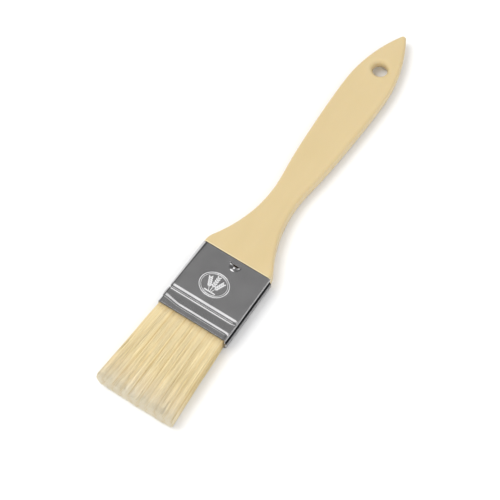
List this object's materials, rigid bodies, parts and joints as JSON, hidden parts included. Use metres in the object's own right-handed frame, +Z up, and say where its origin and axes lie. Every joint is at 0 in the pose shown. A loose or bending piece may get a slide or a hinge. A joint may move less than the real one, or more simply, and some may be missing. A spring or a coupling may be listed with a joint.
{
  "type": "pastry brush",
  "caption": "Flat pastry brush lying on its back: moulded plastic handle with a hanging hole, wrapped steel ferrule and natural bristle that bends.",
  "frame": {"origin": "middle of the brush's bounding box at its underside, where it lies on a table", "axes": "+X along the brush to the handle's tip, bristle ends at -X; +Y across its width; +Z up out of its front face"},
  "size_m": [0.239, 0.0424, 0.0096],
  "materials": {
    "handle_plastic": "satin ivory yellow",
    "ferrule_steel": "smooth rolled strip",
    "resin": "cast epoxy",
    "plug_wood": "raw",
    "bristle": "natural bristle with pale flagged tips"
  },
  "bodies": {
    "brush": {"handle": "handle_plastic", "ferrule": "ferrule_steel", "resin_set": "resin", "spacer_plug": "plug_wood", "bristle_roots_front": "bristle", "bristle_roots_back": "bristle"},
    "bristles": {"bristles_front": "bristle", "bristles_back": "bristle"}
  },
  "joints": [
    {"name": "bristle_flex", "type": "hinge", "parent": "brush", "child": "bristles", "pos_m": [-0.0793, 0, 0.0048], "axis": [0, 1, 0], "range_deg": [-30, 30], "stiffness_Nm_per_rad": 0.05}
  ]
}
